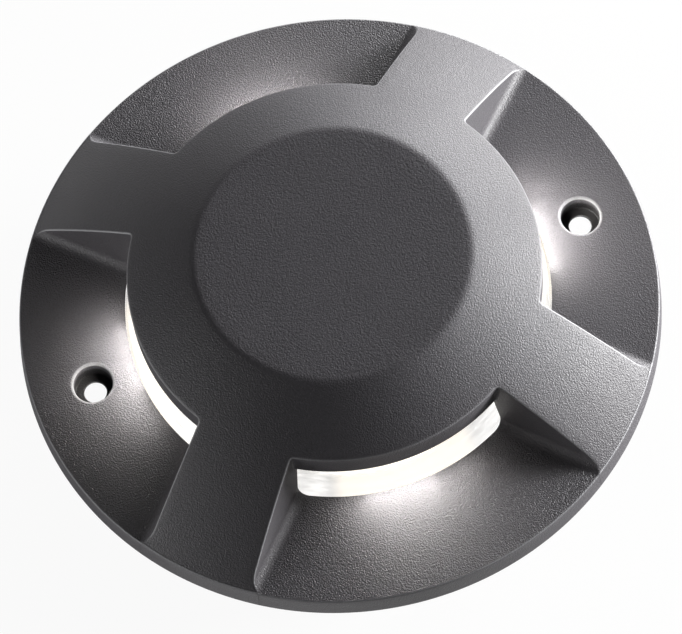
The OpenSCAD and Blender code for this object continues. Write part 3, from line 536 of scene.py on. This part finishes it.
def upper_side():
    """Grids of the arm's side above the split: the rounded edge to the arm's top, and the wall, both with a
    rounded corner at the cap. Before them the radius and azimuth of the line where the edge starts."""
    r = ROWS_R[CAP_ROW:]
    top_q, low_q = side_q(r, dome_z(r)), side_q(r, split_z(r))
    ease = np.minimum(EDGE, 0.35 * top_q)
    turn = np.concatenate([BEND[::-1], np.zeros(len(ROWS_R) - ARM_ROW - 1)])

    def outline(radius):
        """Radius and azimuth along the top's edge, this far from the middle of the corner at the cap."""
        edge_r = np.where(r < CAP_R + CORNER + 1e-9, CAP_R + CORNER - radius * np.sin(turn), r)
        return edge_r, beside_arm(edge_r, side(r, top_q)[0] + CORNER - radius * np.cos(turn))

    corner_r, corner_turn = outline(CORNER)
    start_r, start_turn = outline(CORNER + ease)
    corner = xyz(corner_r, corner_turn, dome_z(corner_r))
    start = xyz(start_r, start_turn, dome_z(start_r))
    down = (top_q - ease) + (low_q - top_q + ease) * np.linspace(0, 1, N_UP + 1)[:, None]
    wall_w, wall_z = side(r, down)
    fade = np.clip((wall_z - split_z(r)) / CORNER_FADE_H, 0, 1)
    fade = fade * fade * (3 - 2 * fade)
    fade[0] = 1
    wall_r = r + (corner_r - r) * fade
    wall = xyz(wall_r, beside_arm(wall_r, wall_w + CORNER * (1 - np.cos(turn)) * fade), wall_z)
    a, b, c = quarter_bend(np.linspace(0, 1, N_EDGE + 1)[:, None, None])
    return start_r, start_turn, a * start + b * corner + c * wall[0], wall


def lower_q(r):
    """Lengths along the arm's side of the lower grid's rows, from the split down the wall and the fillet."""
    split = side_q(r, split_z(r))
    arc = np.minimum(ARC, 0.6 * split)
    wall_rows, arc_rows = np.linspace(1, 0, N_LOW + 1), np.linspace(1, 0, N_ARC + 1)[1:]
    return np.concatenate([arc + (split - arc) * wall_rows[:, None], arc * arc_rows[:, None]])


def lower_side():
    """Grid of the arm's side below the split, down the fillet to the floor, starting on the cone round the
    glass, and the radii of that start, found by going back and forth between the side and the cone."""
    count = N_LOW + N_ARC + 1
    cone_r = np.full(count, CONE_LIP_R)
    for _ in range(40):
        cone_r = lens_r(side(cone_r, np.diagonal(lower_q(cone_r)))[1]) + LENS_GAP
    share = (NEAR_R - CONE_LIP_R) / (NEAR_R[-1] - CONE_LIP_R)
    near = cone_r + (NEAR_R[-1] - cone_r) * share[:, None]
    r = np.concatenate([near, np.repeat(FAR_R[:, None], count, 1)])
    q = np.stack([lower_q(r[:, k])[k] for k in range(count)], 1)
    side_w, side_z = side(r, q)
    return xyz(r, beside_arm(r, side_w), side_z), cone_r


def arm_top(start_r, start_turn):
    """Grid of half the arm's top, from its middle plane to where its edge starts."""
    r, turn = start_r[ARM_ROW - CAP_ROW:], start_turn[ARM_ROW - CAP_ROW:]
    over_half = np.linspace(0, 1, N_HALF + 1)[:, None]
    return xyz(r, -ARM_AT + (turn + ARM_AT) * over_half, dome_z(r))


def cap_grid(top, start):
    """Grid of the cap over a window and the arms' halves beside it, in rings from its outline to the
    middle."""
    part = np.concatenate([top[:, 0], start[:ARM_ROW - CAP_ROW][::-1]])
    border = np.concatenate([part, across(start[:1], N_CAP)[0, 1:-1], mirrored(part)[::-1]])
    border_r, turn = polar(border)
    rings_r = [border_r + (CAP_RINGS_R[0] - border_r) * step for step in (1 / 3, 2 / 3)] + CAP_RINGS_R
    return np.array([border] + [xyz(ring, turn, dome_z(ring)) for ring in rings_r])


def rim_grid(rim_top):
    """Grid of the rounded rim and its leaning wall, down to the underside."""
    r, turn = polar(rim_top)
    rows = []
    for a, b, c in zip(*quarter_bend(np.linspace(0, 1, 6))):
        rows.append(xyz(a * r + b * RIM_CORNER_R + c * RIM_WALL_R, turn,
                        a * rim_top[:, 2] + b * (rim_top[:, 2] - 0.02) + c * RIM_WALL_Z))
    for r_at, z_at in ((89.55, 4.15), (89.78, 2.0), (89.97, 0.3), (FOOT_R, 0.0)):
        rows.append(xyz(r_at, turn, z_at))
    return np.array(rows)


def underside(rim_turn, sill_turn, sill):
    """Grid of the land, the relief and the glass's recess, up to the sill (radius, height). Its columns slide
    from the rim's azimuths to the sill's."""
    steps = [(FOOT_R, 0.0), (86.0, 0.0), (82.0, 0.0), (LAND_R, 0.0), (LAND_R, RELIEF_H)]
    steps += [(at, RELIEF_H) for at in np.linspace(77.5, 65.5, 13)]
    steps += [(RECESS_R, RELIEF_H), (RECESS_R, LEDGE_Z), (lens_r(LEDGE_Z) + LENS_GAP, LEDGE_Z), sill]
    return np.array([xyz(at, rim_turn + (sill_turn - rim_turn) * min(max((89 - at) / 9, 0), 1), z)
                     for at, z in steps])


def hollow_grid(lip_turn):
    """Grid of the hollow over the glass: up the cone to the bow's inner skin, then in under the disc."""
    part = np.linspace(-ARM_AT, lip_turn, ARM_COLUMNS)
    turn = np.concatenate([part, np.linspace(part[-1], -part[-1], N_CAP + 1)[1:-1], -part[::-1]])
    z = np.linspace(WINDOW_TOP, DOME_H, 4000)
    meet = int(np.argmax(bow_z(lens_r(z) + LENS_GAP, SKIN_T) <= z))
    meet_r, meet_z = lens_r(z[meet]) + LENS_GAP, z[meet]
    ceiling = DOME_H - SKIN_T
    ceiling_r = BOW_C[0] + math.sqrt((BOW_R - SKIN_T) ** 2 - (ceiling - BOW_C[1]) ** 2)
    steps = [(CONE_LIP_R, WINDOW_TOP), (meet_r, meet_z)]
    steps += [(at, bow_z(at, SKIN_T)) for at in np.linspace(meet_r, ceiling_r, 5)[1:-1]]
    steps += [(ceiling_r, ceiling), (20.0, ceiling), (0.0, ceiling)]
    return np.array([xyz(at, turn, z_at) for at, z_at in steps])


def holed_grids(floor, under):
    """The floor and the underside without a block round the fixing hole, and the grids of the hole: from the
    floor by a rounded lip and the counterbore to the web, and round the web's underside."""
    i0, i1 = N_FLOOR // 2 - 7, N_FLOOR // 2 + 7
    block, low = (*HOLE_ROWS, i0, i1), (*LOW_HOLE_ROWS, ARM_COLUMNS - 1 + i0, ARM_COLUMNS - 1 + i1)
    round_top, round_low = loop_round(floor, *block), loop_round(under, *low)
    around = np.arctan2(round_top[:, 1], round_top[:, 0] - HOLE_AT)
    rings = [round_top]
    for step in (0.35, 0.7, 1.0):
        ring = round_top + (round_hole(around, HOLE_RIM_R, 0) - round_top) * step
        ring[:, 2] = floor_z(polar(ring)[0])
        rings.append(ring)
    for t in np.linspace(0, math.pi / 2, 6)[1:]:
        lip_r = BORE_R + (HOLE_RIM_R - BORE_R) * (1 - math.sin(t))
        rings.append(round_hole(around, lip_r, -LIP_H * (1 - math.cos(t))))
    for ring_r, z_at in ((BORE_R, BORE_TOP_Z), (BORE_R, 4.6), (BORE_R, WEB_Z + 0.2), (BORE_R - 0.2, WEB_Z),
                         (4.4, WEB_Z), (HOLE_R + 0.2, WEB_Z), (HOLE_R, WEB_Z - 0.2), (HOLE_R, RELIEF_H)):
        rings.append(round_hole(around, ring_r, z_at))
    bore = np.array(rings)
    around_low = np.arctan2(round_low[:, 1], round_low[:, 0] - HOLE_AT)
    mouth = bore[-1][np.argsort(np.mod(around, 2 * math.pi))]
    round_low = round_low[np.argsort(np.mod(around_low, 2 * math.pi))]
    web = np.array([mouth + (round_low - mouth) * step for step in (0, 0.3, 0.65, 1.0)])
    closed = [np.concatenate([grid, grid[:, :1]], 1) for grid in (bore, web)]
    return without_block(floor, *block) + without_block(under, *low) + closed


def cover_quarters():
    """Grids of one window and the halves of the arms beside it, without and with a fixing hole. The window
    looks along +X, and the arms' middle planes are at 45 degrees to it. Rows run outwards, columns across."""
    start_r, start_turn, edge, wall = upper_side()
    low_side, cone_r = lower_side()
    floor, top = across(low_side[:, -1], N_FLOOR), arm_top(start_r, start_turn)
    part = np.concatenate([top[:, -1], edge[1:, -1], wall[1:, -1], low_side[-1, 1:]])
    rim_top = np.concatenate([part, floor[-1, 1:-1], mirrored(part)[::-1]])
    inner_turn = np.linspace(-ARM_AT, polar(low_side[0, -1])[1], ARM_COLUMNS)
    sill_turn = np.concatenate([inner_turn, polar(floor[0])[1][1:-1], -inner_turn[::-1]])
    under = underside(polar(rim_top)[1], sill_turn, (cone_r[-1], low_side[0, -1, 2]))
    cone_turn = polar(low_side[0])[1]
    arm_cone = np.array([xyz(r, np.linspace(-ARM_AT, turn, ARM_COLUMNS), z)
                         for r, turn, z in zip(cone_r, cone_turn, low_side[0, :, 2])])
    shared = [across(line, N_CAP) for line in (edge[:, 0], wall[:, 0], low_side[:CAP_ROW + 1, 0])]
    shared += [cap_grid(top, edge[0]), rim_grid(rim_top), hollow_grid(cone_turn[0])]
    for grid in (edge, wall, low_side, top, arm_cone):
        shared += [grid, mirrored(grid)]
    return shared + [floor, under], shared + holed_grids(floor, under)


def turned(grids, quarters):
    """The grids turned about the light's axis by quarter turns."""
    c, s = ((1, 0), (0, 1), (-1, 0), (0, -1))[quarters]
    return [grid @ np.array([[c, s, 0], [-s, c, 0], [0, 0, 1.0]]) for grid in grids]


def mark_cover(mesh):
    """Marks the painted shade in the fixing holes, which darkens over the first millimetre below BORE_TOP_Z
    and leaves the underside free, and the floors of three pockets, all but the one that looks along +X."""
    points = np.empty(len(mesh.vertices) * 3)
    mesh.vertices.foreach_get("co", points)
    points = points.reshape(-1, 3) / MM
    x, y, z = points.T
    in_bore = np.hypot(np.abs(x) - HOLE_AT, y) < BORE_R + 0.1
    mark(mesh, "bore_painted_shade", in_bore * (z > PAINTED_SHADE_FROM_Z) * np.clip(BORE_TOP_Z - z, 0, 1))
    from_axis = polar(points)[0]
    on_floor = (np.abs(z - floor_z(from_axis)) < 0.02) & (from_axis < RIM_TOP_R + 0.01)
    mark(mesh, "pocket", on_floor & (x < np.abs(y)))


plain, holed = cover_quarters()
quarters = [turned(quarter, i) for i, quarter in enumerate((holed, plain, holed, plain))]
cover = build("cover_casting", sum(quarters, []), "cover")
mark_cover(cover.data)

# Glass cup


def revolved(profile, steps):
    """A profile of (radius, height) turned round the light's axis: (r cos turn, r sin turn, z)."""
    turn = np.linspace(0, 2 * math.pi, steps + 1)
    turn[-1] = 0
    r, z = np.array(profile).T
    return xyz(r[:, None], turn, z[:, None])


def bend_at(start, corner, end, steps=5):
    """Points along a curve from start to end, both among them, that a corner draws towards itself."""
    a, b, c = quarter_bend(np.linspace(0, 1, steps + 1)[:, None])
    return (a * np.array(start) + b * np.array(corner) + c * np.array(end)).tolist()


GLASS_TOP, GLASS_CEILING, FLANGE_R, FLANGE_TOP, FLANGE_FOOT = 24.3, 20.3, 63.51, 4.8, 1.6
glass_line = [[at, GLASS_TOP] for at in (0, 20, 40, 51.5)]
glass_line += bend_at([52.4, GLASS_TOP], [54.33, GLASS_TOP], [54.9, 22.38])
glass_line += [[lens_r(z), z] for z in (20.7, 18, 15, 12, 9, 7)]
glass_line += bend_at([lens_r(5.5), 5.5], [lens_r(FLANGE_TOP), FLANGE_TOP], [61.2, FLANGE_TOP])
glass_line += bend_at([62.9, FLANGE_TOP], [FLANGE_R, FLANGE_TOP], [FLANGE_R, 4.2])
glass_line += bend_at([FLANGE_R, 2.2], [FLANGE_R, FLANGE_FOOT], [62.9, FLANGE_FOOT])
glass_line += bend_at([57.0, FLANGE_FOOT], [56.06, FLANGE_FOOT], [55.9, 2.2])
glass_line += [[50.52 + (GLASS_CEILING - z) * LENS_LEAN, z] for z in (3.5, 6, 9, 12, 15, 17.6)]
glass_line += bend_at([50.94, 18.9], [50.52, GLASS_CEILING], [48.8, GLASS_CEILING])
glass_line += [[at, GLASS_CEILING] for at in (40, 20, 0)]
build("glass_cup", [revolved(glass_line, 360)], "lens", sharp=50)

# Cable gland

# Millimetres. HEX_R runs from the gland's axis to a flat, and a row is a length along it and a radius.
GLAND_Z, HEX_R, HEX_EASE = -36.0, 10.0, 0.15
THREAD_R, THREAD_DEPTH, THREAD_STEP = 8.0, 0.35, 0.5


def nut_surface(rows, steps=240):
    """A closed surface round the gland's axis from rows of (y, radius, hexagon?). Where a row is on the
    hexagon, its radius is the smaller of the row's own and the hexagon's, HEX_R / cos(angle to the nearest
    flat), eased by HEX_EASE: (r + flat - sqrt((r - flat)^2 + HEX_EASE^2)) / 2."""
    y, r, on_hex = np.array(rows, float).T[:, :, None]
    turn = np.linspace(0, 2 * math.pi, steps + 1)
    turn[-1] = 0
    flat = HEX_R / np.cos(np.mod(turn + math.pi / 6, math.pi / 3) - math.pi / 6)
    smaller = (r + flat - np.sqrt((r - flat) ** 2 + HEX_EASE ** 2)) / 2
    r = np.where(on_hex > 0, smaller, r)
    return np.stack([r * np.cos(turn), y + 0 * turn, GLAND_Z + r * np.sin(turn)], -1)


def hex_rows(low, high):
    """Rows of a hexagon between two lengths, its corners turned down at both ends."""
    turned_down = [(0.08, 9.9), (0.35, 10.6), (0.8, 11.4), (1.0, 12.5)]
    rows = [(low, 9.6, 1)] + [(low + step, r, 1) for step, r in turned_down]
    return rows + [(high - step, r, 1) for step, r in reversed(turned_down)]


def round_rows(line):
    """Rows off the hexagon, from (y, radius)."""
    return [(y, r, 0) for y, r in line]


cap_rows = hex_rows(70.21, 76.51)
cap_rows += round_rows([(76.51, 9.7), (76.9, 9.65), (77.6, 9.55), (79.5, 9.1), (81.4, 8.55), (82.6, 8.2),
                        (83.4, 7.85), (83.95, 7.3), (84.21, 6.6), (84.21, 5.3), (84.05, 4.95), (83.8, 4.75),
                        (83.5, 4.7), (80.31, 4.7), (80.31, 6.62), (78.71, 6.62), (78.71, 8.05), (70.6, 8.05),
                        (70.21, 8.4)])
cap_rows += [(70.21, 9.6, 1)]
build("gland_cap", [nut_surface(cap_rows)], "gland_cap_nut", "gland_nut")

thread = [(y, THREAD_R - THREAD_DEPTH * (i % 2)) for i, y in enumerate(np.arange(69.2, 77.2, THREAD_STEP))]
body_rows = round_rows([(49.6, 8.0), (63.6, 8.0), (63.71, 8.2)]) + hex_rows(63.71, 68.71)
body_rows += round_rows([(68.71, 9.0), (68.71, 8.0)] + thread + [(77.4, 7.7), (77.71, 7.3), (77.71, 6.05),
                        (69.71, 6.05), (69.71, 5.0), (49.21, 5.0), (49.21, 7.6), (49.6, 8.0)])
build("gland_shank", [nut_surface(body_rows)], "gland_body")

# Floor and lamps

# Metres, except for the share FLOOR_WHITE and the world's strength.
FLOOR_GAP, FLAT_R, SWEEP_R, SWEEP_H = 0.0002, 4, 1.2, 0.7
FLOOR_WHITE, WORLD_STRENGTH = 0.94, 0.01
BOX_AWAY, BOX_W, BOX_H = 1.0, 0.4, 0.26
WINDOW_LAMP_R, WINDOW_LAMP_H = 60 * MM, 3 * MM


def either(tree, *shares):
    """The largest of some shares."""
    while len(shares) > 1:
        larger = add(tree, "ShaderNodeMath", [(0, shares[0]), (1, shares[1])], operation="MAXIMUM").outputs[0]
        shares = (larger, *shares[2:])
    return shares[0]


def floor_sheet():
    """A pale matt sheet under the light, flat to FLAT_R and then swept up as a parabola, all in metres. The
    eye and reflections see FLOOR_WHITE of it as white light, and the rest still shows the shadow."""
    low = cad_box[0][2] - FLOOR_GAP
    line = [(0, low), (FLAT_R, low)]
    line += [(FLAT_R + SWEEP_R * t, low + SWEEP_H * t * t) for t in np.linspace(0, 1, 7)[1:]]
    mesh = mesh_of("studio_floor", [revolved(np.array(line) / MM, 64)])
    paint = bpy.data.materials.new("pale_floor")
    paint.use_nodes = True
    tree = paint.node_tree
    tree.nodes.clear()
    matt = add(tree, "ShaderNodeBsdfDiffuse", [("Color", colour("#dcdcda"))]).outputs[0]
    white = add(tree, "ShaderNodeEmission", [("Color", colour("#ffffff")), ("Strength", 1.0)]).outputs[0]
    rays = add(tree, "ShaderNodeLightPath").outputs
    seen = either(tree, *(rays[f"Is {kind} Ray"] for kind in ("Camera", "Glossy", "Transmission")))
    share = add(tree, "ShaderNodeMath", [(0, seen), (1, FLOOR_WHITE)], operation="MULTIPLY").outputs[0]
    mix = add(tree, "ShaderNodeMixShader", [(0, share), (1, matt), (2, white)]).outputs[0]
    add(tree, "ShaderNodeOutputMaterial", [(0, mix)])
    mesh.materials.append(paint)
    made = stand("studio_floor", mesh)


def area_lamp(name, width, height, watts):
    """A new rectangular lamp in the scene."""
    lamp = bpy.data.lights.new(name, "AREA")
    lamp.shape, lamp.size, lamp.size_y, lamp.energy = "RECTANGLE", width, height, watts
    return stand(name, lamp)


def softbox(name, turn, rise, watts):
    """A white lamp at an azimuth and elevation in degrees, BOX_AWAY metres away, aimed at the light."""
    made = area_lamp(name, BOX_W, BOX_H, watts)
    turn, rise = math.radians(turn), math.radians(rise)
    away = Vector((math.cos(turn) * math.cos(rise), math.sin(turn) * math.cos(rise), math.sin(rise)))
    aim = away.to_track_quat("Z", "Y").to_matrix().to_4x4()
    made.matrix_world = Matrix.Translation(away * BOX_AWAY) @ aim


def window_lamp(name, turn, width, height, fall, watts, fan, lit):
    """A flat lamp before the glass of each window, at an azimuth from the window's middle and a height in
    millimetres, turned down by an angle and fanned over another, for the light that the chips throw on the
    pocket's floor. It lights only what is in lit, and the eye sees the glass, not the lamp."""
    fall = math.radians(fall)
    aim = Vector((-math.cos(fall), 0, math.sin(fall))).to_track_quat("Z", "Y").to_matrix().to_4x4()
    for quarter in range(4):
        made = area_lamp(f"{name}_{quarter}", width * MM, WINDOW_LAMP_H, watts)
        made.data.spread, made.data.color = math.radians(fan), colour("#fffcf6")[:3]
        made.visible_camera = made.visible_transmission = False
        made.light_linking.receiver_collection = lit
        made.matrix_world = (Matrix.Rotation(quarter * math.pi / 2 + math.radians(turn), 4, "Z")
                             @ Matrix.Translation((WINDOW_LAMP_R, 0, height * MM)) @ aim)


floor_sheet()
lit_by_windows = bpy.data.collections.new("lit_by_windows")
lit_by_windows.objects.link(cover)
# name, azimuth, width, height, angle down, watts and fan
for lamp in (("window_main", 0, 20, 17.0, 30, 0.0102, 160),
             ("window_sill", -3, 20, 10.9, 84, 0.0021, 180),
             ("window_right", -13, 10, 15.5, 35, 0.0016, 155),
             ("window_left", 13, 10, 15.5, 35, 0.0016, 155)):
    window_lamp(*lamp, lit=lit_by_windows)
# name, azimuth, elevation and watts
for lamp in (("right_high", 0, 20, 9.0), ("right_low", 0, 8, 20.5), ("right_back", 40, 8, 9.8),
             ("back", 60, 8, 2.2), ("left", 180, 12, 4.2)):
    softbox(*lamp)

world = bpy.data.worlds.new("studio")
bpy.context.scene.world = world
world.use_nodes = True
back = next(n for n in world.node_tree.nodes if n.type == "BACKGROUND")
back.inputs[0].default_value, back.inputs[1].default_value = colour("#ffffff"), WORLD_STRENGTH
